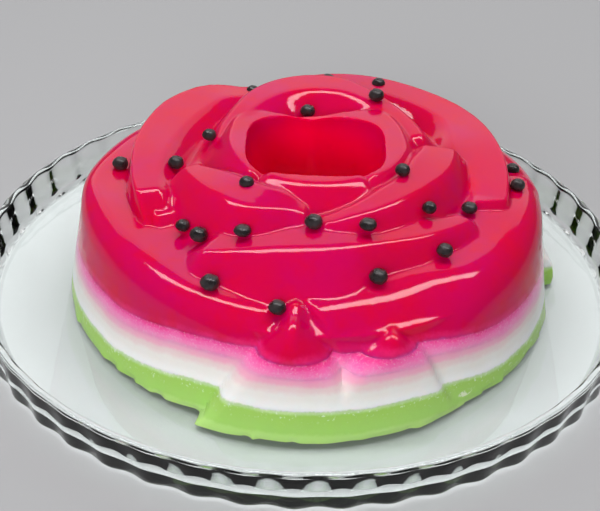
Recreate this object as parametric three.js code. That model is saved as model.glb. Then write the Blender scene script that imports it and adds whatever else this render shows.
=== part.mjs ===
// A moulded rose jelly in four coloured layers, dotted with small round sweets, on its fluted
// glass plate. Millimetres, +Z up. The plate stands on z = 0 with its centre on the Z axis.
// The jelly is turned out of a rose-shaped ring mould: overlapping petals wind round a central
// hole, and every petal is a crest line with a height, a top that leans and a side that falls.
// Angles are in degrees, anticlockwise from +X as seen from above.

import * as THREE from 'three';
import { mergeVertices } from 'three/addons/utils/BufferGeometryUtils.js';

const DEGREE = Math.PI / 180;
const TURN = 360;

// Glass plate
const PLATE_RADIUS = 150;
const PLATE_HEIGHT = 20;
const PLATE_FLOOR = 4;
const PLATE_FLUTES = 48;
const FLUTE_DEPTH = 0.9;
const RIM_WIDTH = 4;
const BASE_INSET = 6;
const BASE_BEVEL = 2.5;
const WALL_LEAN = 3;
const FLOOR_FILLET = 2;
const EDGE = 0.8;

// Jelly: where it stands on the plate, and the tops of its lower layers above the plate's floor
const JELLY_X = 4;
const JELLY_Y = 1;
const GREEN_TOP = 11.5;
const WHITE_TOP = 26;
const PINK_TOP = 32;
const HOLE_TOP = 73;
const WALL_DRAFT = Math.tan(9 * DEGREE);
const SECTIONS = 96;
const TOP_POINTS = 21;
const TOP_STEPS = 800;

// Central hole at its top edge: a rounded square with a dent at the back, narrower at its foot
const HOLE_HALF_WIDTH = 30.5;
const HOLE_HALF_BACK = 25.5;
const HOLE_HALF_FRONT = 27;
const HOLE_SQUARENESS = 3.4;
const HOLE_FOOT_SHARE = 0.66;
const DENT = { at: 97, depth: 4, width: 20 };

// How near the heights and radii that are found by halving come
const TOLERANCE = 0.002;
const HOLE_ROUNDS = 6;
const DENT_LIMIT = 1.1;

// How softly the petals run into one another, and how soft the hole's lip is
const CREASE = 0.45;
const LIP = 0.8;

// Petals stay behind the mould's wall; those of the outer row reach the plate with their own side
const INNER_WALL_FOOT = 104;
const SHOULDER_POWER = 2.2;
const FOOT_SLOPE = 8;

// Round sweets rest a hair above the jelly
const SWEET_GAP = 0.35;
const RAY_RINGS = 4;
const RAYS_PER_RING = 16;

// What a petal has unless its own row says otherwise. A number holds for the whole petal, and a
// list has a value for each of its angles.
const usual = {
  band: 24,       // width of the leaning top, from the crest inwards
  lean: 0.04,     // its slope, up towards the crest
  back: 1.2,      // slope of the inner side beyond it
  turn: 4,        // how softly the top turns down into that side
  fall: 1.3,      // slope of the outer side
  round: 4,       // radius of the crest
  ends: [1, 1],   // slopes of the two ends
  endRound: 3,
  skew: [0, 0],   // degrees by which the ends move for each millimetre outwards
  foot: null,     // radius at the plate, for petals of the outer row
  drop: 1.1,      // how deep the outer row's shoulder is, for each millimetre of its width
};

const petals = [
  // Outer row
  { at: [150, 165, 182, 196, 210, 225, 237, 248, 262],
    crest: [90, 92, 96, 92, 89.5, 88, 88.5, 87, 84],
    height: [52, 53, 53.5, 54, 53.5, 52, 50, 48.5, 46.5],
    foot: [108, 109, 110.5, 110, 108.5, 107.5, 107, 106.5, 106],
    band: 30, ends: [0.4, 1.2], endRound: 4, skew: [0, -0.5] },
  { at: [247, 250, 254, 258, 262, 266, 269, 272, 275, 278, 280],
    crest: [96, 96, 95.5, 95, 94, 93, 93.5, 94, 95, 96, 96],
    height: [2, 15, 28, 36, 43, 48, 44.5, 40.5, 35.5, 26, 12],
    foot: [114, 114, 114, 114, 114, 114, 114, 113.5, 113.5, 113, 113], band: 4, lean: -0.4,
    ends: [3, 3] },
  { at: [275, 281, 285, 289.5, 293, 297, 301, 307], crest: 98,
    height: [24, 34, 38, 42, 38, 32, 18, 2],
    foot: [113.5, 113, 112.5, 112, 111.5, 111, 110, 108.5], band: 4, ends: [3, 3] },
  { at: [268, 285, 300, 316, 330, 347, 364], crest: [82, 74.5, 73, 83, 85.5, 90, 91],
    height: [49, 50.5, 51.5, 52.5, 54, 56.5, 56], foot: [107, 107, 107.5, 108, 109, 109.5, 109],
    lean: -0.1, ends: [6, 0.6], endRound: 1.5, skew: [0.42, 0] },
  { at: [2, 15, 30, 60, 90], crest: [91.5, 90, 89, 86, 83], height: [56, 54, 51.5, 50, 48],
    foot: [109.5, 109.5, 109.5, 109, 108], band: 20, lean: 0, ends: [0.6, 0.5] },
  { at: [3, 30, 60], crest: 96, height: 17, foot: [115, 113.5, 110], band: 4, ends: [5, 1],
    endRound: 1, drop: 0.6 },
  { at: [80, 110, 150], crest: [84, 86, 88], height: [48, 50, 50], foot: [107, 107, 108], band: 20,
    ends: [0.5, 0.5], endRound: 4 },
  // Middle row
  { at: [118, 130, 145, 160, 180, 200], crest: [75, 82, 84, 82, 80, 80.5],
    height: [65, 67, 67, 66.5, 66, 64], band: [8, 13, 17, 16, 12.5, 8.5], back: 0.9, fall: 8,
    round: 2.5, ends: [0.8, 1], endRound: 5 },
  { at: [196, 203, 209], crest: [79, 78, 76], height: [59, 58.5, 57], band: 8, back: 2, fall: 2.5,
    round: 2.5, ends: [0.5, 1.4] },
  { at: [236, 250, 262, 283, 297, 314, 330], crest: [76, 67, 63.5, 63, 64.5, 69, 73.5],
    height: [58, 60.2, 61.5, 62.5, 61.6, 61, 60], band: [26, 26, 26, 20, 12, 9, 3], lean: -0.12,
    fall: [1.2, 0.7, 0.7, 0.85, 1.8, 2, 1.6], round: 6, endRound: 4 },
  { at: [-14, -5, 15, 35, 55, 75, 92, 112], crest: [85, 84.5, 84.5, 86, 85, 84, 79, 74],
    height: [61, 63, 66, 66, 66, 66, 66, 62], band: [11, 14, 19, 13, 12, 11, 10, 8], back: 0.8,
    fall: [6, 6, 6, 5, 1.6, 1.3, 1.3, 1.3], round: 2.5, ends: [3, 0.6], endRound: 1, skew: [0.34, 0] },
  // Inner row
  { at: [196, 208, 222, 241, 250, 258, 264], crest: [56, 55, 54, 53, 49.5, 46, 45.5],
    height: [68, 69, 69.8, 69.5, 69, 68, 67], band: [3, 8, 10, 11, 9, 5, 2], lean: -0.18, round: 9,
    fall: 1.5, ends: [1.3, 2.2] },
  { at: [277, 291, 310, 330, 350, 363], crest: [51, 52, 52, 53.5, 58, 59.5],
    height: [65.5, 68.5, 70.2, 70.8, 71, 71], band: [2.5, 4.5, 7.5, 8.5, 12.5, 10.5], lean: -0.13,
    fall: 1.7, round: 6, ends: [1, 1.8] },
  { at: [20, 42, 63, 77, 91, 107, 123, 142, 166],
    crest: [49.5, 50.5, 54, 58, 59.5, 57, 52.5, 46.5, 44],
    height: [71, 73, 75, 76, 76, 76, 75.5, 73.5, 69], band: [3, 4, 6, 9, 11, 10, 8, 5, 3],
    back: [0.9, 0.9, 1, 1, 1, 0.8, 0.64, 0.64, 0.9], turn: 5, fall: 1.4, round: 3, endRound: 4 },
  { at: [236, 270, 305], crest: [31.5, 31, 31.5], height: 73, band: 12, lean: 0, fall: 0.9, round: 5 },
  // Lip round the hole
  { at: [-42, -15, 0, 15, 30, 44, 55, 66, 82, 96, 112, 124, 136, 148, 160, 178, 200, 218],
    crest: [35, 37, 38.5, 39.5, 41.5, 43, 39.5, 32.5, 25.5, 24, 25, 31.5, 37.5, 41, 39, 36.5, 35, 35],
    height: 73, band: 14, lean: 0, fall: 1, round: 1.5, ends: [0.6, 0.6] },
  // Floor of the hollows between the rows
  { at: [0, 180, 360], crest: 34, height: 66, band: 50, lean: 0, fall: 0.42, round: 5, ends: [0, 0] },
].map((petal) => ({ ...usual, ...petal }));

// Where the sweets lie on the rose, as radius and angle round the jelly's centre, and how large
// each one is
const sweets = [
  // Inner row and lip
  { out: 35, angle: 96.5, size: 3.5 }, { out: 43.6, angle: 229.3, size: 3.2 },
  { out: 43, angle: 329.9, size: 3.3 }, { out: 49, angle: 56, size: 3.6 },
  { out: 48.9, angle: 166.5, size: 3.2 }, { out: 61.1, angle: 185.6, size: 3.5 },
  { out: 52.3, angle: 270.1, size: 3.8 }, { out: 58.7, angle: 292.3, size: 3.7 },
  // Middle row and its hollows
  { out: 61.5, angle: 321.8, size: 3.1 }, { out: 63.8, angle: 243.2, size: 3.7 },
  { out: 70.5, angle: 219.5, size: 3.1 }, { out: 70.4, angle: 228, size: 3.8 },
  { out: 71.7, angle: 338.4, size: 3.5 }, { out: 71.5, angle: 115.4, size: 3.2 },
  { out: 76, angle: 86, size: 3.4 }, { out: 80, angle: 68, size: 3.3 },
  // Outer row
  { out: 77.8, angle: 314.4, size: 3.5 }, { out: 77.1, angle: 290.4, size: 3.9 },
  { out: 87.4, angle: 176, size: 3.6 }, { out: 88.1, angle: 242.6, size: 4 },
  { out: 89.2, angle: 261.5, size: 3.6 }, { out: 91, angle: 9, size: 3.3 },
  { out: 90, angle: 357, size: 3.3 },
];

const materials = {
  red: { color: 0xcc0033, roughness: 0.08 },
  pink: { color: 0xf06eaa, roughness: 0.3 },
  white: { color: 0xf4f0ee, roughness: 0.3 },
  green: { color: 0x96cd5a, roughness: 0.3 },
  glass: { color: 0xdfeeea, roughness: 0.03, transparent: true, opacity: 0.4 },
  chocolate: { color: 0x2b2727, roughness: 0.4 },
};

// The turn of an angle that is nearest to a middle one
function around(angle, middle) {
  return middle + THREE.MathUtils.euclideanModulo(angle - middle + TURN / 2, TURN) - TURN / 2;
}

// Value at an angle, on a smooth curve through the values given at some angles
function glide(angle, at, values) {
  const last = at.length - 1;
  const place = Math.min(Math.max(angle, at[0]), at[last]);
  let i = 0;
  while (i < last - 1 && place > at[i + 1]) i += 1;
  const slope = (k) => {
    const a = Math.max(k - 1, 0);
    const b = Math.min(k + 1, last);
    return (values[b] - values[a]) / (at[b] - at[a]);
  };
  const span = at[i + 1] - at[i];
  const t = (place - at[i]) / span;
  return values[i] * (1 - t) ** 2 * (1 + 2 * t) + values[i + 1] * t ** 2 * (3 - 2 * t)
    + span * (slope(i) * t * (1 - t) ** 2 - slope(i + 1) * t ** 2 * (1 - t));
}

// Drop of a side that starts level, rounds off and then keeps its slope
function side(distance, slope, round) {
  const d = Math.max(distance, 0);
  return slope * (Math.hypot(d, round) - round);
}

// Height of an outer petal's shoulder and drafted wall at a radius
function shoulder(radius, crest, height, foot, drop) {
  if (radius >= foot) return (foot - radius) * FOOT_SLOPE;
  const reach = foot - WALL_DRAFT * height - crest;
  const deep = Math.min(reach * drop, height);
  let low = 0;
  let high = height;
  while (high - low > TOLERANCE) {
    const z = (low + high) / 2;
    const below = Math.min((height - z) / deep, 1);
    const bend = (1 - (1 - below) ** SHOULDER_POWER) ** (1 / SHOULDER_POWER);
    if (crest + reach * bend + WALL_DRAFT * (height - z) > radius) low = z; else high = z;
  }
  return (low + high) / 2;
}

function petalHeight(petal, radius, angle) {
  const first = petal.at[0];
  const last = petal.at[petal.at.length - 1];
  const turn = around(angle, (first + last) / 2);
  const own = (name) => (Array.isArray(petal[name]) ? glide(turn, petal.at, petal[name]) : petal[name]);
  const height = own('height');
  const out = radius - own('crest');
  const top = height + petal.lean * out;
  const wall = petal.foot ? Infinity : (INNER_WALL_FOOT - radius) / WALL_DRAFT;
  let z;
  if (out < 0) {
    z = Math.min(top - side(-out - own('band'), own('back'), petal.turn), wall);
  } else if (petal.foot) {
    z = shoulder(radius, own('crest'), height, own('foot'), petal.drop);
  } else {
    z = Math.min(Math.min(top, height) - side(out, own('fall'), petal.round), wall);
  }
  const before = (first + petal.skew[0] * out - turn) * DEGREE * radius;
  const beyond = (turn - last - petal.skew[1] * out) * DEGREE * radius;
  return z - side(before, petal.ends[0], petal.endRound) - side(beyond, petal.ends[1], petal.endRound);
}

// Radius of the hole's edge at its top without the dent
function holeSquare(angle) {
  const x = Math.abs(Math.cos(angle * DEGREE)) / HOLE_HALF_WIDTH;
  const depth = Math.sin(angle * DEGREE) > 0 ? HOLE_HALF_BACK : HOLE_HALF_FRONT;
  const y = Math.abs(Math.sin(angle * DEGREE)) / depth;
  return (x ** HOLE_SQUARENESS + y ** HOLE_SQUARENESS) ** (-1 / HOLE_SQUARENESS);
}

function dentDepth(angle) {
  return DENT.depth * Math.exp(-(((around(angle, DENT.at) - DENT.at) / DENT.width) ** 2));
}

// Radius of the hole at a height; the dent fades away downwards
function holeRadiusAt(angle, z) {
  const share = z / HOLE_TOP;
  return holeSquare(angle) * (HOLE_FOOT_SHARE + (1 - HOLE_FOOT_SHARE) * share)
    - dentDepth(angle) * share ** 2;
}

// Height at which the hole's wall has a radius, found in a few rounds
function holeHeight(radius, angle) {
  let share = 1;
  for (let i = 0; i < HOLE_ROUNDS; i += 1) {
    const filled = dentDepth(angle) * Math.min(Math.max(share, 0), DENT_LIMIT) ** 2;
    share = ((radius + filled) / holeSquare(angle) - HOLE_FOOT_SHARE) / (1 - HOLE_FOOT_SHARE);
  }
  return share * HOLE_TOP;
}

// Larger of several heights, running into one another over about the softness given
function softMost(heights, softness) {
  const most = Math.max(...heights);
  return most + softness * Math.log(heights.reduce((sum, z) => sum + Math.exp((z - most) / softness), 0));
}

// Height of the jelly above the plate's floor
function jellyHeight(radius, angle) {
  const rose = softMost(petals.map((petal) => petalHeight(petal, radius, angle)), CREASE);
  return -softMost([-rose, -holeHeight(radius, angle)], LIP);
}

// Radius of the jelly's outer wall at a height below the petals' shoulders
function wallRadius(angle, z) {
  let inside = PLATE_RADIUS / 2;
  let outside = PLATE_RADIUS;
  while (outside - inside > TOLERANCE) {
    const middle = (inside + outside) / 2;
    if (jellyHeight(middle, angle) > z) inside = middle; else outside = middle;
  }
  return (inside + outside) / 2;
}

// Closed cross-section of a lower layer: points of radius and height
function slabSection(angle, low, high) {
  return [
    [holeRadiusAt(angle, low), low],
    [holeRadiusAt(angle, high), high],
    [wallRadius(angle, high), high],
    [wallRadius(angle, low), low],
  ];
}

// Closed cross-section of the top layer: its surface from the hole to the wall in equal steps
function roseSection(angle) {
  const from = holeRadiusAt(angle, PINK_TOP);
  const to = wallRadius(angle, PINK_TOP);
  const line = [[from, PINK_TOP]];
  for (let i = 1; i < TOP_STEPS; i += 1) {
    const radius = from + (to - from) * i / TOP_STEPS;
    line.push([radius, Math.max(jellyHeight(radius, angle), PINK_TOP)]);
  }
  line.push([to, PINK_TOP]);
  const run = [0];
  for (let i = 1; i < line.length; i += 1) {
    run.push(run[i - 1] + Math.hypot(line[i][0] - line[i - 1][0], line[i][1] - line[i - 1][1]));
  }
  const section = [];
  let k = 0;
  for (let i = 0; i < TOP_POINTS; i += 1) {
    const goal = run[TOP_STEPS] * i / (TOP_POINTS - 1);
    while (k < TOP_STEPS - 1 && run[k + 1] < goal) k += 1;
    const share = (goal - run[k]) / (run[k + 1] - run[k]);
    section.push([0, 1].map((axis) => line[k][axis] + (line[k + 1][axis] - line[k][axis]) * share));
  }
  return section;
}

// Solid ring through closed cross-sections taken at equal angles
function ring(sectionAt) {
  const positions = [];
  const faces = [];
  let count = 0;
  for (let i = 0; i < SECTIONS; i += 1) {
    const angle = TURN * i / SECTIONS;
    const section = sectionAt(angle);
    count = section.length;
    for (const [radius, z] of section) {
      positions.push(radius * Math.cos(angle * DEGREE), radius * Math.sin(angle * DEGREE), z);
    }
  }
  for (let i = 0; i < SECTIONS; i += 1) {
    const next = (i + 1) % SECTIONS;
    for (let j = 0; j < count; j += 1) {
      const up = (j + 1) % count;
      const a = i * count + j;
      const b = next * count + j;
      const c = next * count + up;
      const d = i * count + up;
      faces.push(a, c, b, a, d, c);
    }
  }
  return meshOf(positions, faces);
}

function meshOf(positions, faces) {
  const geometry = new THREE.BufferGeometry();
  geometry.setAttribute('position', new THREE.Float32BufferAttribute(positions, 3));
  geometry.setIndex(faces);
  geometry.computeVertexNormals();
  return geometry;
}

// Pressed glass plate: a flat floor inside a low fluted wall with a level rim
function plateGeometry() {
  const rim = PLATE_RADIUS - FLUTE_DEPTH;
  const inside = rim - RIM_WIDTH;
  const rings = [
    { radius: rim - BASE_INSET, z: 0, flute: 0.3 },
    { radius: rim - BASE_BEVEL, z: BASE_BEVEL, flute: 1 },
    { radius: rim, z: PLATE_HEIGHT - 2 * EDGE, flute: 0.3 },
    { radius: rim - EDGE, z: PLATE_HEIGHT, flute: 0.1 },
    { radius: inside, z: PLATE_HEIGHT, flute: 0 },
    { radius: inside - WALL_LEAN, z: PLATE_FLOOR + FLOOR_FILLET, flute: 0 },
    { radius: inside - WALL_LEAN - FLOOR_FILLET, z: PLATE_FLOOR, flute: 0 },
  ];
  const sides = PLATE_FLUTES * 2;
  const positions = [];
  for (const { radius, z, flute } of rings) {
    for (let i = 0; i < sides; i += 1) {
      const r = radius + FLUTE_DEPTH * flute * (i % 2 ? -1 : 1);
      const angle = TURN * i / sides * DEGREE;
      positions.push(r * Math.cos(angle), r * Math.sin(angle), z);
    }
  }
  const faces = [];
  const under = rings.length * sides;
  const over = under + 1;
  positions.push(0, 0, 0, 0, 0, PLATE_FLOOR);
  for (let i = 0; i < sides; i += 1) {
    const next = (i + 1) % sides;
    for (let j = 0; j < rings.length - 1; j += 1) {
      const low = j * sides;
      const high = low + sides;
      faces.push(low + i, low + next, high + next, low + i, high + next, high + i);
    }
    const top = (rings.length - 1) * sides;
    faces.push(under, next, i, over, top + i, top + next);
  }
  return meshOf(positions, faces);
}

function sweetGeometry(size) {
  const ball = new THREE.IcosahedronGeometry(size, 1);
  ball.deleteAttribute('normal');
  ball.deleteAttribute('uv');
  return mergeVertices(ball);
}

function named(name, geometry, look) {
  const material = new THREE.MeshStandardMaterial({ metalness: 0, ...materials[look] });
  const mesh = new THREE.Mesh(geometry, material);
  mesh.name = name;
  return mesh;
}

// Height at which a ball over this place comes to rest on the jelly's own facets: rays fall on
// them from a few rings of places under the ball
function restingHeight(jelly, x, y, size) {
  const caster = new THREE.Raycaster();
  const down = new THREE.Vector3(0, 0, -1);
  let rest = 0;
  for (let step = 0; step <= RAY_RINGS; step += 1) {
    const out = size * step / RAY_RINGS;
    const places = step === 0 ? 1 : RAYS_PER_RING;
    for (let i = 0; i < places; i += 1) {
      const angle = TURN * i / places * DEGREE;
      const over = 2 * HOLE_TOP;
      const from = new THREE.Vector3(x + out * Math.cos(angle), y + out * Math.sin(angle), over);
      caster.set(from, down);
      const [hit] = caster.intersectObject(jelly);
      if (hit) rest = Math.max(rest, hit.point.z + Math.sqrt(size ** 2 - out ** 2));
    }
  }
  return rest + SWEET_GAP;
}

const group = new THREE.Group();
group.add(named('plate', plateGeometry(), 'glass'));

const jelly = new THREE.Group();
const layers = [
  ['green_layer', 'green', 0, GREEN_TOP],
  ['white_layer', 'white', GREEN_TOP, WHITE_TOP],
  ['pink_layer', 'pink', WHITE_TOP, PINK_TOP],
];
for (const [name, look, low, high] of layers) {
  jelly.add(named(name, ring((angle) => slabSection(angle, low, high)), look));
}
const rose = named('red_layer', ring(roseSection), 'red');
jelly.add(rose);

sweets.forEach(({ out, angle, size }, i) => {
  const ball = named(`sweet_${String(i + 1).padStart(2, '0')}`, sweetGeometry(size), 'chocolate');
  const x = out * Math.cos(angle * DEGREE);
  const y = out * Math.sin(angle * DEGREE);
  ball.position.set(x, y, restingHeight(rose, x, y, size));
  jelly.add(ball);
});
jelly.position.set(JELLY_X, JELLY_Y, PLATE_FLOOR);
group.add(jelly);

export default group;
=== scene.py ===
"""A moulded rose jelly in four coloured layers, dotted with round sweets, on its glass plate."""

import math

import bpy
import numpy as np
from mathutils import Matrix, Vector


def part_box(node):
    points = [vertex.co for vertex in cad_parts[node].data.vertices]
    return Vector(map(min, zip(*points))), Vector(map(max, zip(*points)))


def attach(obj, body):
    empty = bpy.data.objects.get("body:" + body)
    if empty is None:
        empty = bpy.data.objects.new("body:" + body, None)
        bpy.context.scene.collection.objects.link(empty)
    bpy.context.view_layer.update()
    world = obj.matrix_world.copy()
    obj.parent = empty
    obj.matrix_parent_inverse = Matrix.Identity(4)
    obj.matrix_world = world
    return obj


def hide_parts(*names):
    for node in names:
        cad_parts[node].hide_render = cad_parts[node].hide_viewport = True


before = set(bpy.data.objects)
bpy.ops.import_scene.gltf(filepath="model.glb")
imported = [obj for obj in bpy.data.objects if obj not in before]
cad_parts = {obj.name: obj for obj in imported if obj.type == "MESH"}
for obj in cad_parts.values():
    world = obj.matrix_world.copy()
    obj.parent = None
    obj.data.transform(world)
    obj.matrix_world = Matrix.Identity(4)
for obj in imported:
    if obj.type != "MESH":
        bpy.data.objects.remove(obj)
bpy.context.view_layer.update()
bpy.ops.object.select_all(action="DESELECT")

# --- Glass plate -------------------------------------------------------------------------------
# A low dish of clear pressed glass: a flat floor inside a short wall fluted on the outside, with
# a level rim. Pressed in one piece, so the flutes are soft and the surfaces are very slightly wavy.

PLATE_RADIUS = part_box("plate")[1].x
PLATE_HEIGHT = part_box("plate")[1].z
PLATE_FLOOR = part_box("green_layer")[0].z
EDGE_ROUND, EDGE_STEPS = 0.0016, 5
FLUTES = 48
FLUTE_DEPTH = 0.0008
FLUTES_BEGIN, FLUTES_GROW_OVER = 0.0068, 0.0040
LOST_AT_RIM = 0.92
STEPS_PER_FLUTE = 16


def rounded(corners):
    """The corners of an outline, each inner one replaced by a short curve."""
    line = [Vector(corners[0])]
    for before, corner, after in zip(corners, corners[1:], corners[2:]):
        before, corner, after = Vector(before), Vector(corner), Vector(after)
        reach = min(EDGE_ROUND, (before - corner).length / 2, (after - corner).length / 2)
        start = corner + (before - corner).normalized() * reach
        end = corner + (after - corner).normalized() * reach
        for i in range(EDGE_STEPS + 1):
            t = i / EDGE_STEPS
            line.append(start * (1 - t) ** 2 + corner * 2 * t * (1 - t) + end * t ** 2)
    line.append(Vector(corners[-1]))
    return line


def edit(piece):
    """Opens one piece in edit mode, with all of it selected."""
    bpy.ops.object.select_all(action="DESELECT")
    piece.select_set(True)
    bpy.context.view_layer.objects.active = piece
    bpy.ops.object.mode_set(mode="EDIT")
    bpy.ops.mesh.select_all(action="SELECT")


def places(piece):
    """Every vertex of a piece, one row each."""
    found = np.empty(len(piece.data.vertices) * 3)
    piece.data.vertices.foreach_get("co", found)
    return found.reshape(-1, 3)


def put(piece, points):
    """Moves each vertex of a piece to its row of the points."""
    piece.data.vertices.foreach_set("co", np.asarray(points, dtype=float).ravel())
    piece.data.update()


rim = PLATE_RADIUS - FLUTE_DEPTH
outline = rounded([
    (rim - 0.0064, 0.0),
    (rim - 0.0022, 0.0012),
    (rim - 0.0004, PLATE_HEIGHT - 0.0030),
    (rim - 0.0003, PLATE_HEIGHT),
    (rim - 0.0038, PLATE_HEIGHT),
    (rim - 0.0072, PLATE_FLOOR + 0.0035),
    (rim - 0.0100, PLATE_FLOOR),
    (rim - 0.0140, PLATE_FLOOR),
])
bpy.ops.mesh.primitive_circle_add(
    vertices=FLUTES * STEPS_PER_FLUTE, radius=outline[0].x, fill_type="NGON", location=(0, 0, 0)
)
plate = bpy.context.object
plate.name = "glass_plate"
edit(plate)
for before, after in zip(outline, outline[1:]):
    bpy.ops.mesh.extrude_region_move(TRANSFORM_OT_translate={"value": (0, 0, after.y - before.y)})
    grow = after.x / before.x
    bpy.ops.transform.resize(value=(grow, grow, 1), center_override=(0, 0, 0))
bpy.ops.mesh.select_all(action="SELECT")
bpy.ops.mesh.normals_make_consistent(inside=False)
bpy.ops.object.mode_set(mode="OBJECT")

points = places(plate)
radius = np.hypot(points[:, 0], points[:, 1])
turn = np.arctan2(points[:, 1], points[:, 0])
outside = np.clip((radius - (rim - FLUTES_BEGIN)) / FLUTES_GROW_OVER, 0, 1)
outside = outside * outside * (3 - 2 * outside)
rise = np.clip(points[:, 2] / PLATE_HEIGHT, 0, 1)
radius += FLUTE_DEPTH * np.cos(FLUTES * turn) * outside * (1 - LOST_AT_RIM * rise ** 3)
points[:, 0] = radius * np.cos(turn)
points[:, 1] = radius * np.sin(turn)
put(plate, points)
edit(plate)
bpy.ops.mesh.faces_shade_smooth()
bpy.ops.object.mode_set(mode="OBJECT")


def new_material(name):
    """A new material, its nodes, its links and its principled shader."""
    material = bpy.data.materials.new(name)
    material.use_nodes = True
    nodes, links = material.node_tree.nodes, material.node_tree.links
    return material, nodes, links, nodes["Principled BSDF"]


def node(nodes, kind, **settings):
    """A new node with the settings given."""
    made = nodes.new(kind)
    for key, value in settings.items():
        setattr(made, key, value)
    return made


def noise(nodes, links, vector, scale, detail=3.0, rough=0.5):
    """A cloudy pattern of values from 0 to 1."""
    made = node(nodes, "ShaderNodeTexNoise")
    made.inputs["Scale"].default_value = scale
    made.inputs["Detail"].default_value = detail
    made.inputs["Roughness"].default_value = rough
    links.new(vector, made.inputs["Vector"])
    return made.outputs["Fac"]


def ranged(nodes, links, value, low, high, to_low=0.0, to_high=1.0):
    """A value between two limits turned smoothly into one between two others, and held beyond."""
    made = node(nodes, "ShaderNodeMapRange", interpolation_type="SMOOTHSTEP")
    for key, number in zip(("From Min", "From Max", "To Min", "To Max"), (low, high, to_low, to_high)):
        made.inputs[key].default_value = number
    links.new(value, made.inputs["Value"])
    return made.outputs["Result"]


def relief(nodes, links, shader, height, strength, depth):
    """Raises the surface in looks where a pattern is high."""
    bump = node(nodes, "ShaderNodeBump")
    bump.inputs["Strength"].default_value = strength
    bump.inputs["Distance"].default_value = depth
    links.new(height, bump.inputs["Height"])
    links.new(bump.outputs["Normal"], shader.inputs["Normal"])


CLEAR_TINT = (0.95, 0.98, 0.97, 1)
MOST_SMEARED = 0.02
WAVE_DEPTH = 0.0006
glass, nodes, links, shader = new_material("pressed_glass")
shader.inputs["Base Color"].default_value = CLEAR_TINT
shader.inputs["Transmission Weight"].default_value = 1.0
shader.inputs["IOR"].default_value = 1.5
where = node(nodes, "ShaderNodeTexCoord").outputs["Object"]
smear = noise(nodes, links, where, scale=38, detail=4, rough=0.6)
links.new(ranged(nodes, links, smear, 0.35, 0.8, 0.0, MOST_SMEARED), shader.inputs["Roughness"])
waves = noise(nodes, links, where, scale=95, detail=2, rough=0.4)
relief(nodes, links, shader, waves, 0.04, WAVE_DEPTH)

# What lies under the glass is lit through it as if through tinted air.
light_path = node(nodes, "ShaderNodeLightPath")
clear = node(nodes, "ShaderNodeBsdfTransparent")
clear.inputs["Color"].default_value = CLEAR_TINT
either = node(nodes, "ShaderNodeMixShader")
links.new(light_path.outputs["Is Shadow Ray"], either.inputs["Fac"])
links.new(shader.outputs["BSDF"], either.inputs[1])
links.new(clear.outputs["BSDF"], either.inputs[2])
links.new(either.outputs["Shader"], nodes["Material Output"].inputs["Surface"])
plate.data.materials.append(glass)
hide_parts("plate")
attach(plate, "root")

# --- Green layer -------------------------------------------------------------------------------
# The layer at the foot, poured last and so lowest when the jelly is turned out: cloudy
# yellow-green, with pale specks where it met the white one and a torn, ragged lower edge. The
# rose mould gives all four layers their form, so its sizes and its petals come first.

# The jelly stands a little off the plate's middle. Its sizes are in millimetres from its own
# middle and from the plate's floor, and its angles in degrees anticlockwise from +X.
JELLY_X, JELLY_Y = 0.004, 0.001
MM = 0.001
DRAFT = math.tan(math.radians(9))
SHOULDER_POWER = 2.2
FOOT_FALL = 8.0
WALL_FROM, WALL_TO = 75.0, 150.0
HOLE_TOP = 73.0
HOLE_FOOT_SHARE = 0.66
HOLE_HALF_WIDTH, HOLE_HALF_BACK, HOLE_HALF_FRONT = 30.5, 25.5, 27.0
HOLE_SQUARENESS = 3.4
DENT_AT, DENT_DEPTH, DENT_WIDTH = 97.0, 4.0, 20.0
CREASE, LIP = 0.45, 0.8
INNER_WALL_FOOT = 104.0
AROUND = 540
WALL_STEPS, HOLE_STEPS = 16, 6
SHARP_EDGE = math.radians(50)

# What a petal has unless its row says otherwise. Its crest has a radius and a height at each of
# the angles that it is at. Inwards its top leans over a band, then falls away at the back past a
# rounded turn. Outwards it falls off past a rounded edge or, where it has a foot, goes down to it
# as the mould's outer shoulder, which is as deep as drop times its reach. Past its two ends it
# slopes down, and skew slants those ends.
USUAL = dict(band=24, lean=0.04, back=1.2, turn=4, fall=1.3, round=4, ends=(1, 1), end_round=3,
             skew=(0, 0), foot=None, drop=1.1)

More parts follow.
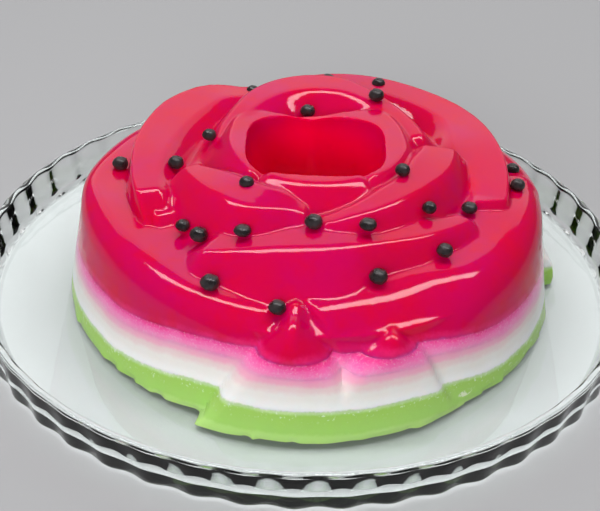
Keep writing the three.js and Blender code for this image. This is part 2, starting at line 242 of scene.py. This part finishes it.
PETALS = [dict(USUAL, **petal) for petal in (
    # The outer petal at the left.
    dict(at=(150, 165, 182, 196, 210, 225, 237, 248, 262),
         crest=(90, 92, 96, 92, 89.5, 88, 88.5, 87, 84),
         height=(52, 53, 53.5, 54, 53.5, 52, 50, 48.5, 46.5),
         foot=(108, 109, 110.5, 110, 108.5, 107.5, 107, 106.5, 106),
         band=30, ends=(0.4, 1.2), end_round=4, skew=(0, -0.5)),
    # Two bosses low on the front.
    dict(at=(247, 250, 254, 258, 262, 266, 269, 272, 275, 278, 280),
         crest=(96, 96, 95.5, 95, 94, 93, 93.5, 94, 95, 96, 96),
         height=(2, 15, 28, 36, 43, 48, 44.5, 40.5, 35.5, 26, 12),
         foot=(114, 114, 114, 114, 114, 114, 114, 113.5, 113.5, 113, 113), band=4, lean=-0.4,
         ends=(3, 3)),
    dict(at=(275, 281, 285, 289.5, 293, 297, 301, 307), crest=98,
         height=(24, 34, 38, 42, 38, 32, 18, 2),
         foot=(113.5, 113, 112.5, 112, 111.5, 111, 110, 108.5), band=4, ends=(3, 3)),
    # The outer petals at the front and the right.
    dict(at=(268, 285, 300, 316, 330, 347, 364), crest=(82, 74.5, 73, 83, 85.5, 90, 91),
         height=(49, 50.5, 51.5, 52.5, 54, 56.5, 56), foot=(107, 107, 107.5, 108, 109, 109.5, 109),
         lean=-0.1, ends=(6, 0.6), end_round=1.5, skew=(0.42, 0)),
    dict(at=(2, 15, 30, 60, 90), crest=(91.5, 90, 89, 86, 83), height=(56, 54, 51.5, 50, 48),
         foot=(109.5, 109.5, 109.5, 109, 108), band=20, lean=0, ends=(0.6, 0.5)),
    # The step in the foot at the right.
    dict(at=(3, 30, 60), crest=96, height=17, foot=(115, 113.5, 110),
         band=4, ends=(5, 1), end_round=1, drop=0.6),
    # The outer petal at the back.
    dict(at=(80, 110, 150), crest=(84, 86, 88), height=(48, 50, 50), foot=(107, 107, 108),
         band=20, ends=(0.5, 0.5), end_round=4),
    # The middle row, from the left of the back round the front to the right of the back.
    dict(at=(118, 130, 145, 160, 180, 200), crest=(75, 82, 84, 82, 80, 80.5),
         height=(65, 67, 67, 66.5, 66, 64), band=(8, 13, 17, 16, 12.5, 8.5), back=0.9,
         fall=8, round=2.5, ends=(0.8, 1), end_round=5),
    dict(at=(196, 203, 209), crest=(79, 78, 76), height=(59, 58.5, 57), band=8, back=2, fall=2.5,
         round=2.5, ends=(0.5, 1.4)),
    dict(at=(236, 250, 262, 283, 297, 314, 330), crest=(76, 67, 63.5, 63, 64.5, 69, 73.5),
         height=(58, 60.2, 61.5, 62.5, 61.6, 61, 60), band=(26, 26, 26, 20, 12, 9, 3), lean=-0.12,
         fall=(1.2, 0.7, 0.7, 0.85, 1.8, 2, 1.6), round=6, ends=(1, 1), end_round=4),
    dict(at=(-14, -5, 15, 35, 55, 75, 92, 112), crest=(85, 84.5, 84.5, 86, 85, 84, 79, 74),
         height=(61, 63, 66, 66, 66, 66, 66, 62), band=(11, 14, 19, 13, 12, 11, 10, 8), back=0.8,
         fall=(6, 6, 6, 5, 1.6, 1.3, 1.3, 1.3), round=2.5, ends=(3, 0.6), end_round=1, skew=(0.34, 0)),
    # The inner row, from the left of the front round to the left of the back.
    dict(at=(196, 208, 222, 241, 250, 258, 264), crest=(56, 55, 54, 53, 49.5, 46, 45.5),
         height=(68, 69, 69.8, 69.5, 69, 68, 67), band=(3, 8, 10, 11, 9, 5, 2), lean=-0.18,
         round=9, fall=1.5, ends=(1.3, 2.2)),
    dict(at=(277, 291, 310, 330, 350, 363), crest=(51, 52, 52, 53.5, 58, 59.5),
         height=(65.5, 68.5, 70.2, 70.8, 71, 71), band=(2.5, 4.5, 7.5, 8.5, 12.5, 10.5), lean=-0.13,
         fall=1.7, round=6, ends=(1, 1.8), end_round=3),
    dict(at=(20, 42, 63, 77, 91, 107, 123, 142, 166),
         crest=(49.5, 50.5, 54, 58, 59.5, 57, 52.5, 46.5, 44),
         height=(71, 73, 75, 76, 76, 76, 75.5, 73.5, 69), band=(3, 4, 6, 9, 11, 10, 8, 5, 3),
         back=(0.9, 0.9, 1, 1, 1, 0.8, 0.64, 0.64, 0.9), turn=5, fall=1.4, round=3, end_round=4),
    # The rim of the hole and the ground between it and the petals.
    dict(at=(236, 270, 305), crest=(31.5, 31, 31.5), height=73, band=12, lean=0,
         fall=0.9, round=5),
    dict(at=(-42, -15, 0, 15, 30, 44, 55, 66, 82, 96, 112, 124, 136, 148, 160, 178, 200, 218),
         crest=(35, 37, 38.5, 39.5, 41.5, 43, 39.5, 32.5, 25.5, 24, 25, 31.5, 37.5, 41, 39, 36.5, 35, 35),
         height=(73, 73, 73, 73, 73, 73, 73, 73, 73, 73, 73, 73, 73, 73, 73, 73, 73, 72),
         band=14, lean=0, fall=1, round=1.5, ends=(0.6, 0.6)),
    dict(at=(0, 180, 360), crest=34, height=66, band=50, lean=0,
         fall=0.42, round=5, ends=(0, 0)),
)]


def glide(angle, at, values):
    """Values at angles, on a smooth curve through those given at some angles."""
    at, values = np.array(at, float), np.array(values, float)
    place = np.clip(angle, at[0], at[-1])
    i = np.clip(np.searchsorted(at, place, side="left") - 1, 0, len(at) - 2)
    before = np.maximum(np.arange(len(at)) - 1, 0)
    after = np.minimum(np.arange(len(at)) + 1, len(at) - 1)
    slope = (values[after] - values[before]) / (at[after] - at[before])
    span = at[i + 1] - at[i]
    t = (place - at[i]) / span
    return (values[i] * (1 - t) ** 2 * (1 + 2 * t) + values[i + 1] * t ** 2 * (3 - 2 * t)
            + span * (slope[i] * t * (1 - t) ** 2 - slope[i + 1] * t ** 2 * (1 - t)))


def side(distance, slope, round_):
    """Drop of a side that starts level, rounds off and then keeps its slope."""
    return slope * (np.hypot(np.maximum(distance, 0), round_) - round_)


def shoulder(radius, crest, height, foot, drop):
    """Height of an outer petal's rounded shoulder and of its drafted wall below.

    The height is found by halving, and beyond the foot it drops away below the plate's floor.
    """
    reach = foot - DRAFT * height - crest
    deep = np.minimum(reach * drop, height)
    low, high = np.zeros_like(radius), height + 0 * radius
    for _ in range(20):
        z = (low + high) / 2
        bend = 1 - (1 - np.minimum((height - z) / deep, 1)) ** SHOULDER_POWER
        at_z = crest + reach * bend ** (1 / SHOULDER_POWER) + DRAFT * (height - z)
        low, high = np.where(at_z > radius, z, low), np.where(at_z > radius, high, z)
    return np.where(radius >= foot, (foot - radius) * FOOT_FALL, (low + high) / 2)


def petal_height(petal, radius, angle):
    """Height of one petal, as if it stood alone."""
    first, last = petal["at"][0], petal["at"][-1]
    middle = (first + last) / 2
    turn = middle + (angle - middle + 180) % 360 - 180

    def own(name):
        given = petal[name]
        return glide(turn, petal["at"], given) if isinstance(given, tuple) else given

    height, out = own("height"), radius - own("crest")
    top = height + petal["lean"] * out
    inner = top - side(-out - own("band"), own("back"), petal["turn"])
    if petal["foot"]:
        outer = shoulder(radius, own("crest"), height, own("foot"), petal["drop"])
    else:
        outer = np.minimum(top, height) - side(out, own("fall"), petal["round"])
        inner = np.minimum(inner, (INNER_WALL_FOOT - radius) / DRAFT)
        outer = np.minimum(outer, (INNER_WALL_FOOT - radius) / DRAFT)
    z = np.where(out < 0, inner, outer)
    before = np.radians(first + petal["skew"][0] * out - turn) * radius
    beyond = np.radians(turn - last - petal["skew"][1] * out) * radius
    for past, slope in zip((before, beyond), petal["ends"]):
        z = z - side(past, slope, petal["end_round"])
    return z


def soft_most(heights, softness):
    """The greatest of several heights, with the creases between them rounded."""
    heights = np.stack(heights)
    most = heights.max(axis=0)
    return most + softness * np.log(np.exp((heights - most) / softness).sum(axis=0))


def hole_square(angle):
    """Radius of the hole's edge at its top, a rounded square, and the depth of the dent in it."""
    x, y = np.cos(np.radians(angle)), np.sin(np.radians(angle))
    depth = np.where(y > 0, HOLE_HALF_BACK, HOLE_HALF_FRONT)
    power = HOLE_SQUARENESS
    off = (angle - DENT_AT + 180) % 360 - 180
    square = (np.abs(x / HOLE_HALF_WIDTH) ** power + np.abs(y / depth) ** power) ** (-1 / power)
    return square, DENT_DEPTH * np.exp(-((off / DENT_WIDTH) ** 2))


def hole_at(angle, z):
    """Radius of the hole at a height; the dent fades away downwards."""
    square, dent = hole_square(angle)
    share = z / HOLE_TOP
    return square * (HOLE_FOOT_SHARE + (1 - HOLE_FOOT_SHARE) * share) - dent * share ** 2


def hole_height(radius, angle):
    """Height at which the hole's wall has a radius, found in a few rounds because of the dent."""
    square, dent = hole_square(angle)
    share = np.ones_like(radius)
    for _ in range(6):
        straight = (radius + dent * np.clip(share, 0, 1.1) ** 2) / square - HOLE_FOOT_SHARE
        share = straight / (1 - HOLE_FOOT_SHARE)
    return share * HOLE_TOP


def jelly_height(radius, angle):
    """Height of the jelly above the plate's floor, in millimetres."""
    rose = soft_most([petal_height(petal, radius, angle) for petal in PETALS], CREASE)
    return -soft_most([-rose, -hole_height(radius, angle)], LIP)


def wall_at(angle, z):
    """Radius of the outer wall at a height below the petals' shoulders."""
    inside, outside = WALL_FROM + 0 * angle, WALL_TO + 0 * angle
    for _ in range(16):
        middle = (inside + outside) / 2
        painted_glow_share = jelly_height(middle, angle) > z
        inside, outside = np.where(painted_glow_share, middle, inside), np.where(painted_glow_share, outside, middle)
    return (inside + outside) / 2


ANGLES = np.arange(AROUND) * 360.0 / AROUND


def jelly_ring(name, radii, heights):
    """A grid rolled up into a ring: its radii and heights are given, one row for each angle."""
    steps = radii.shape[1]
    bpy.ops.mesh.primitive_grid_add(
        x_subdivisions=AROUND, y_subdivisions=steps, size=1, location=(0, 0, 0)
    )
    piece = bpy.context.object
    piece.name = name
    flat = places(piece)
    column = np.rint((flat[:, 0] + 0.5) * AROUND).astype(int) % AROUND
    row = np.rint((flat[:, 1] + 0.5) * steps).astype(int) % steps
    turns, out = np.radians(ANGLES[column]), radii[column, row] * MM
    put(piece, np.column_stack([
        JELLY_X + out * np.cos(turns),
        JELLY_Y + out * np.sin(turns),
        PLATE_FLOOR + heights[column, row] * MM,
    ]))
    edit(piece)
    bpy.ops.mesh.remove_doubles(threshold=1e-7)
    bpy.ops.mesh.normals_make_consistent(inside=False)
    bpy.ops.object.mode_set(mode="OBJECT")
    bpy.ops.object.shade_smooth_by_angle(angle=SHARP_EDGE)
    return piece


GREEN_TOP, WHITE_TOP, PINK_TOP = (
    (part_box(name)[1].z - PLATE_FLOOR) / MM for name in ("green_layer", "white_layer", "pink_layer")
)
LEVEL_SWING = 6.0
FRONT_FROM, FRONT_FULL = 0.62, 0.95
SEED, TEETH = 8, 150
TOOTH_HEIGHT, TOOTH_LENGTH, TOOTH_TAPER = 2.6, 1.5, 0.7


def level(mean):
    """Height of a boundary between layers: it stands higher at the front, where the foot juts out."""
    out = np.clip((-np.sin(np.radians(ANGLES)) - FRONT_FROM) / (FRONT_FULL - FRONT_FROM), 0, 1)
    return mean + LEVEL_SWING * (out * out * (3 - 2 * out) - 0.5)


def slab(name, low, high, teeth=0 * ANGLES):
    """A layer between two boundaries, with the mould's wall outside and the hole inside.

    Its teeth are how far its foot juts out of the wall, or stays behind it, at each angle.
    """
    angle = ANGLES[:, None]
    rise = (high - low)[:, None]
    up = low[:, None] + rise * np.linspace(0, 1, WALL_STEPS)
    down = high[:, None] - rise * np.linspace(0, 1, HOLE_STEPS)
    outer, inner = wall_at(angle + 0 * up, up), hole_at(angle, down)
    outer = outer + teeth[:, None] * np.clip(1 - up / TOOTH_HEIGHT, 0, 1) ** TOOTH_TAPER
    return jelly_ring(name, np.hstack([outer, inner]), np.hstack([up, down]))


green_level, white_level, pink_level = level(GREEN_TOP), level(WHITE_TOP), level(PINK_TOP)
chance = np.random.default_rng(SEED)
corners = np.sort(chance.uniform(0, 360, TEETH))
teeth = np.interp(ANGLES, corners, chance.uniform(-1, 0.35, TEETH), period=360) * TOOTH_LENGTH
green = slab("green_jelly", 0 * green_level, green_level, teeth)


def ramp(nodes, links, value, stops):
    """A colour that changes with a value through the stops given."""
    made = node(nodes, "ShaderNodeValToRGB")
    made.color_ramp.interpolation = "EASE"
    bar = made.color_ramp.elements
    while len(bar) < len(stops):
        bar.new(1.0)
    for element, (place, colour) in zip(bar, stops):
        element.position = place
        element.color = (*colour, 1)
    links.new(value, made.inputs["Fac"])
    return made.outputs["Color"]


def calculate(nodes, links, operation, first, second):
    """A node that joins two values, either of them a number or another node's value."""
    made = node(nodes, "ShaderNodeMath", operation=operation)
    for socket, value in zip(made.inputs, (first, second)):
        if isinstance(value, (int, float)):
            socket.default_value = value
        else:
            links.new(value, socket)
    return made.outputs[0]


COLOURED_HEIGHT = 50.0
RAGGED_SCALES = ((90, 1.0), (700, 0.5))
JELLY_IOR = 1.36
CLOUDY_DEPTH = 0.0008
SKIN_DEPTH = 0.0004
LAYER_COLOURS = (
    (0.0, (0.50, 0.76, 0.24)),
    (2.0, (0.42, 0.70, 0.17)),
    (GREEN_TOP - 2.0, (0.40, 0.66, 0.14)),
    (GREEN_TOP - 0.4, (0.58, 0.78, 0.38)),
    (GREEN_TOP + 0.8, (0.96, 0.95, 0.94)),
    (WHITE_TOP - 8.0, (0.86, 0.83, 0.80)),
    (WHITE_TOP - 4.5, (0.83, 0.66, 0.67)),
    (WHITE_TOP - 2.0, (0.87, 0.44, 0.58)),
    (WHITE_TOP + 1.5, (0.93, 0.27, 0.53)),
    (PINK_TOP - 2.5, (0.93, 0.17, 0.46)),
    (PINK_TOP - 0.7, (0.92, 0.08, 0.34)),
    (PINK_TOP + 0.8, (0.80, 0.020, 0.18)),
    (PINK_TOP + 4.0, (0.63, 0.0, 0.078)),
    (COLOURED_HEIGHT, (0.62, 0.0, 0.064)),
)


def layer_colour(nodes, links, ragged):
    """Object coordinates, the height as a share of the coloured height, and the colour there.

    The height is measured along with the uneven boundaries, and made ragged by some metres.
    """
    where = node(nodes, "ShaderNodeTexCoord").outputs["Object"]
    apart = node(nodes, "ShaderNodeSeparateXYZ")
    links.new(where, apart.inputs[0])
    x = calculate(nodes, links, "SUBTRACT", apart.outputs["X"], JELLY_X)
    y = calculate(nodes, links, "SUBTRACT", apart.outputs["Y"], JELLY_Y)
    square = calculate(nodes, links, "ADD", calculate(nodes, links, "MULTIPLY", x, x),
                       calculate(nodes, links, "MULTIPLY", y, y))
    front = calculate(nodes, links, "DIVIDE", y, calculate(nodes, links, "SQRT", square, 0.0))
    swing = LEVEL_SWING * MM
    shift = ranged(nodes, links, front, -FRONT_FROM, -FRONT_FULL, -swing / 2, swing / 2)
    height = calculate(nodes, links, "SUBTRACT", apart.outputs["Z"], shift)
    for scale, share in RAGGED_SCALES:
        wobble = ranged(nodes, links, noise(nodes, links, where, scale, 3), 0.25, 0.75,
                        -ragged * share, ragged * share)
        height = calculate(nodes, links, "ADD", height, wobble)
    height = calculate(nodes, links, "SUBTRACT", height, PLATE_FLOOR)
    height = calculate(nodes, links, "DIVIDE", height, COLOURED_HEIGHT * MM)
    stops = [(up / COLOURED_HEIGHT, colour) for up, colour in LAYER_COLOURS]
    return where, height, ramp(nodes, links, height, stops)


def jelly_shader(shader, spread, depth, roughness):
    """Light goes a little way into jelly and spreads there, some colours further than others."""
    shader.inputs["Subsurface Weight"].default_value = 1.0
    shader.inputs["Subsurface Radius"].default_value = spread
    shader.inputs["Subsurface Scale"].default_value = depth
    shader.inputs["Roughness"].default_value = roughness
    shader.inputs["IOR"].default_value = JELLY_IOR


def mixed(nodes, links, share, first, second):
    """A colour from a node mixed with another colour by a share."""
    made = node(nodes, "ShaderNodeMix", data_type="RGBA")
    first_colour, second_colour = made.inputs[6:8]
    links.new(share, made.inputs["Factor"])
    links.new(first, first_colour)
    second_colour.default_value = (*second, 1)
    return made.outputs[2]


def skin_bump(nodes, links, shader, where, strength, scale=420):
    """The very fine unevenness of a set jelly's skin."""
    relief(nodes, links, shader, noise(nodes, links, where, scale), strength, SKIN_DEPTH)


SPECK_COLOUR = (0.76, 0.90, 0.64)
NICK_COLOUR = (0.80, 0.88, 0.62)
NICK_AT = (0.0705, -0.0845, 0.0090)
NICK_FLATNESS = 2.6
NICK_REACH, NICK_CORE = 0.0046, 0.0030
material, nodes, links, shader = new_material("green_jelly")
where, height, colour = layer_colour(nodes, links, ragged=0.0005)
specks = ranged(nodes, links, noise(nodes, links, where, scale=700, detail=2), 0.60, 0.72)
near_top = ranged(
    nodes, links, height, (GREEN_TOP - 7) / COLOURED_HEIGHT, GREEN_TOP / COLOURED_HEIGHT
)
specks = calculate(nodes, links, "MULTIPLY", specks, near_top)
colour = mixed(nodes, links, specks, colour, SPECK_COLOUR)
nick = node(nodes, "ShaderNodeVectorMath", operation="SUBTRACT")
links.new(where, nick.inputs[0])
nick.inputs[1].default_value = NICK_AT
across = node(nodes, "ShaderNodeVectorMath", operation="MULTIPLY")
links.new(nick.outputs["Vector"], across.inputs[0])
across.inputs[1].default_value = (1, 1, NICK_FLATNESS)
away = node(nodes, "ShaderNodeVectorMath", operation="LENGTH")
links.new(across.outputs["Vector"], away.inputs[0])
nicked = ranged(nodes, links, away.outputs["Value"], NICK_REACH, NICK_CORE)
streaks = ranged(nodes, links, noise(nodes, links, where, scale=420), 0.42, 0.55)
nicked = calculate(nodes, links, "MULTIPLY", nicked, streaks)
links.new(mixed(nodes, links, nicked, colour, NICK_COLOUR), shader.inputs["Base Color"])
jelly_shader(shader, spread=(1.0, 1.0, 0.5), depth=CLOUDY_DEPTH, roughness=0.22)
skin_bump(nodes, links, shader, where, strength=0.3)
green.data.materials.append(material)
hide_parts("green_layer")
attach(green, "root")

# --- White layer -------------------------------------------------------------------------------
# Milky jelly over the green one, whitest where they meet and turning beige-pink upwards, where
# the pink layer was still warm enough to melt a little of it.

white = slab("white_jelly", green_level, white_level)
material, nodes, links, shader = new_material("white_jelly")
where, _, colour = layer_colour(nodes, links, ragged=0.0005)
links.new(colour, shader.inputs["Base Color"])
jelly_shader(shader, spread=(1.0, 0.8, 0.7), depth=CLOUDY_DEPTH, roughness=0.2)
skin_bump(nodes, links, shader, where, strength=0.2)
white.data.materials.append(material)
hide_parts("white_layer")
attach(white, "root")

# --- Pink layer --------------------------------------------------------------------------------
# Cloudy pink jelly, fine-grained and unevenly coloured. It is deepest just under the red layer,
# whose colour has seeped into it.

GRAIN_COLOUR = (0.92, 0.62, 0.76)
MOST_GRAIN = 0.35
pink = slab("pink_jelly", white_level, pink_level)
material, nodes, links, shader = new_material("pink_jelly")
where, _, colour = layer_colour(nodes, links, ragged=0.0007)
grain = noise(nodes, links, where, scale=1100, detail=2)
grain = ranged(nodes, links, grain, 0.50, 0.80, 0.0, MOST_GRAIN)
links.new(mixed(nodes, links, grain, colour, GRAIN_COLOUR), shader.inputs["Base Color"])
jelly_shader(shader, spread=(1.0, 0.5, 0.6), depth=CLOUDY_DEPTH, roughness=0.16)
skin_bump(nodes, links, shader, where, strength=0.25)
pink.data.materials.append(material)
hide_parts("pink_layer")
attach(pink, "root")

# --- Red layer: the rose -----------------------------------------------------------------------
# Clear deep crimson jelly, poured first into the rose mould: petals wind round the central hole
# in three rows. Turned out, it has the mould's sharp creases and a wet, glassy skin.

TOP_POINTS, FINE_STEPS = 176, 1600
RED_DEPTH = 0.003
PINKER_RED, WARMER_RED = (0.58, 0.0, 0.12), (0.66, 0.0, 0.034)
# Painted glow: the hole's walls are painted a brighter red, standing in for light that comes through the
# jelly into the hole.
PAINTED_HOLE_GLOW = (0.98, 0.0, 0.055)
PAINTED_GLOW_FROM, PAINTED_GLOW_FULL = 0.050, 0.030
MOST_CLOUDED = 0.6
pink_top = pink_level[:, None]
angle = ANGLES[:, None]
start, stop = hole_at(angle, pink_top), wall_at(angle, pink_top)
fine = start + (stop - start) * np.linspace(0, 1, FINE_STEPS)[None, :]
top = np.maximum(jelly_height(fine, angle + 0 * fine), pink_top)
top[:, 0] = top[:, -1] = pink_level
run = np.cumsum(np.hypot(np.diff(fine, axis=1), np.diff(top, axis=1)), axis=1)
run = np.hstack([np.zeros((AROUND, 1)), run])
radii, heights = np.empty((AROUND, TOP_POINTS)), np.empty((AROUND, TOP_POINTS))
for i in range(AROUND):
    goals = np.linspace(0, run[i, -1], TOP_POINTS)
    radii[i], heights[i] = np.interp(goals, run[i], fine[i]), np.interp(goals, run[i], top[i])
red = jelly_ring("red_rose", radii, heights)

material, nodes, links, shader = new_material("red_jelly")
where, _, colour = layer_colour(nodes, links, ragged=0.0006)
clouds = noise(nodes, links, where, scale=26, detail=2)
clouds = ranged(nodes, links, clouds, 0.42, 0.68, 0.0, MOST_CLOUDED)
colour = mixed(nodes, links, clouds, colour, PINKER_RED)
depths = noise(nodes, links, where, scale=75, detail=4, rough=0.6)
depths = ranged(nodes, links, depths, 0.45, 0.70, 0.0, MOST_CLOUDED)
colour = mixed(nodes, links, depths, colour, WARMER_RED)
# Painted glow: near the middle of the hole the red is brightened, as if lit from within the jelly.
from_middle = node(nodes, "ShaderNodeVectorMath", operation="DISTANCE")
links.new(where, from_middle.inputs[0])
from_middle.inputs[1].default_value = (JELLY_X, JELLY_Y, PLATE_FLOOR + HOLE_TOP * MM / 2)
painted_glow_share = ranged(nodes, links, from_middle.outputs["Value"], PAINTED_GLOW_FROM, PAINTED_GLOW_FULL)
links.new(mixed(nodes, links, painted_glow_share, colour, PAINTED_HOLE_GLOW), shader.inputs["Base Color"])
jelly_shader(shader, spread=(1.0, 0.06, 0.15), depth=RED_DEPTH, roughness=0.045)
skin_bump(nodes, links, shader, where, strength=0.16, scale=190)
red.data.materials.append(material)
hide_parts("red_layer")
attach(red, "root")

# --- Sweets ------------------------------------------------------------------------------------
# Nearly black sugar-coated sweets dropped on the rose. They are tumbled in a drum, so each one is
# a little flattened and has a lumpy shell with a dull shine.

sweet_names = sorted(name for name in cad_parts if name.startswith("sweet"))
USUAL_HEIGHT, FLATTENED = 0.84, dict(sweet_08=0.68, sweet_10=0.62, sweet_13=0.70)
JUST_STUCK = 0.16
SUNK = dict(sweet_02=0.8, sweet_14=0.95, sweet_15=0.9, sweet_16=0.9, sweet_22=0.7)
LUMP_SIZE, LUMP_SHARE, LUMP_LEVEL = 0.003, 0.22, 0.60
SHELL_COLOURS = [(0.3, (0.010, 0.008, 0.009)), (0.75, (0.036, 0.030, 0.032))]
TURN_Z, TURN_X = 1.7, 0.9


def resting(x, y, size):
    """Height at which a ball comes to rest on the rose's fine surface."""
    out, turn = np.meshgrid(size * np.linspace(0, 0.97, 8), np.radians(np.arange(0, 360, 15)))
    x, y = x + out * np.cos(turn), y + out * np.sin(turn)
    top = jelly_height(np.hypot(x, y).ravel(), np.degrees(np.arctan2(y, x)).ravel())
    return (top + np.sqrt(size ** 2 - out.ravel() ** 2)).max()


lumps = bpy.data.textures.new("sweet_lumps", "CLOUDS")
lumps.noise_scale = LUMP_SIZE
lumps.noise_depth = 1
material, nodes, links, shader = new_material("sugar_shell")
where = node(nodes, "ShaderNodeTexCoord").outputs["Object"]
cloud = noise(nodes, links, where, scale=260)
links.new(ramp(nodes, links, cloud, SHELL_COLOURS), shader.inputs["Base Color"])
links.new(ranged(nodes, links, cloud, 0.3, 0.7, 0.22, 0.40), shader.inputs["Roughness"])
relief(nodes, links, shader, noise(nodes, links, where, scale=900), 0.5, SKIN_DEPTH)
for i, name in enumerate(sweet_names):
    low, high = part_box(name)
    middle, size = (low + high) / 2, (high.x - low.x) / 2
    flat = FLATTENED.get(name, USUAL_HEIGHT)
    rest = resting((middle.x - JELLY_X) / MM, (middle.y - JELLY_Y) / MM, size / MM)
    middle.z = rest * MM + PLATE_FLOOR - size * (1 - flat + SUNK.get(name, JUST_STUCK))
    bpy.ops.mesh.primitive_ico_sphere_add(subdivisions=5, radius=size, location=(0, 0, 0))
    sweet = bpy.context.object
    sweet.name = name + "_shell"
    swell = sweet.modifiers.new("lumps", "DISPLACE")
    swell.texture = lumps
    swell.texture_coords = "LOCAL"
    swell.strength = size * LUMP_SHARE
    swell.mid_level = LUMP_LEVEL
    bpy.ops.transform.rotate(value=TURN_Z * i, orient_axis="Z", center_override=(0, 0, 0))
    bpy.ops.transform.rotate(value=TURN_X * i, orient_axis="X", center_override=(0, 0, 0))
    bpy.ops.object.transform_apply(location=True, rotation=True, scale=True)
    bpy.ops.object.modifier_apply(modifier=swell.name)
    edit(sweet)
    bpy.ops.transform.resize(value=(1, 1, flat), center_override=(0, 0, 0))
    bpy.ops.transform.translate(value=middle)
    bpy.ops.mesh.faces_shade_smooth()
    bpy.ops.object.mode_set(mode="OBJECT")
    sweet.data.materials.append(material)
    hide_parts(name)
    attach(sweet, "root")

# --- Table, light and camera ---------------------------------------------------------------------
# A pale table, a large soft light behind and above, a narrower one overhead that draws the thin
# highlights, a soft one from the front that isn't reflected, and a weak even light all round.

TABLE_WIDTH, TABLE_GAP = 6, 0.0002
TABLE_COLOUR = (0.40, 0.40, 0.41, 1)
EVEN_LIGHT = 0.12
LIT_POINT = (0, 0, 0.05)
bpy.ops.mesh.primitive_plane_add(size=TABLE_WIDTH, location=(0, 0, -TABLE_GAP))
table = bpy.context.object
table.name = "table"
material, nodes, links, shader = new_material("pale_table")
shader.inputs["Base Color"].default_value = TABLE_COLOUR
shader.inputs["Roughness"].default_value = 0.7
table.data.materials.append(material)


def panel(name, centre, width, depth, power, shines=True, through=True):
    """A soft rectangular light that faces the jelly.

    One that doesn't shine isn't seen in reflections, and one not through isn't seen through glass.
    """
    data = bpy.data.lights.new(name, "AREA")
    data.shape = "RECTANGLE"
    data.size, data.size_y = width, depth
    data.energy = power
    lamp = bpy.data.objects.new(name, data)
    bpy.context.scene.collection.objects.link(lamp)
    lamp.location = centre
    lamp.rotation_euler = (Vector(LIT_POINT) - Vector(centre)).to_track_quat("-Z", "Y").to_euler()
    lamp.visible_camera = False
    lamp.visible_glossy = shines
    lamp.visible_transmission = through


panel("back_panel", (0, 1.25, 0.95), width=2.0, depth=1.1, power=7.4)
panel("top_strip", (0, 0.16, 1.30), width=1.8, depth=0.22, power=14.5, through=False)
panel("front_fill", (-0.4, -1.5, 0.65), width=1.4, depth=0.8, power=20.5, shines=False,
      through=False)

world = bpy.data.worlds.new("even_light")
world.use_nodes = True
world.node_tree.nodes["Background"].inputs["Color"].default_value = (1, 1, 1, 1)
world.node_tree.nodes["Background"].inputs["Strength"].default_value = EVEN_LIGHT
bpy.context.scene.world = world
bpy.context.scene.view_settings.view_transform = "Standard"

AIM = Vector((-0.001, 0.0262, 0.0))
DISTANCE, LENS = 0.657, 81.2
ELEVATION, ROLL = math.radians(34.31), math.radians(2.2)
towards = Vector((0, -math.cos(ELEVATION), math.sin(ELEVATION)))
sideways = Vector((1, 0, 0))
upward = towards.cross(sideways)
right = math.cos(ROLL) * sideways + math.sin(ROLL) * upward
over = -math.sin(ROLL) * sideways + math.cos(ROLL) * upward
camera_data = bpy.data.cameras.new("camera")
camera_data.lens = LENS
camera = bpy.data.objects.new("camera", camera_data)
bpy.context.scene.collection.objects.link(camera)
turned = Matrix((right, over, towards)).transposed().to_4x4()
camera.matrix_world = Matrix.Translation(AIM + towards * DISTANCE) @ turned
bpy.context.scene.camera = camera
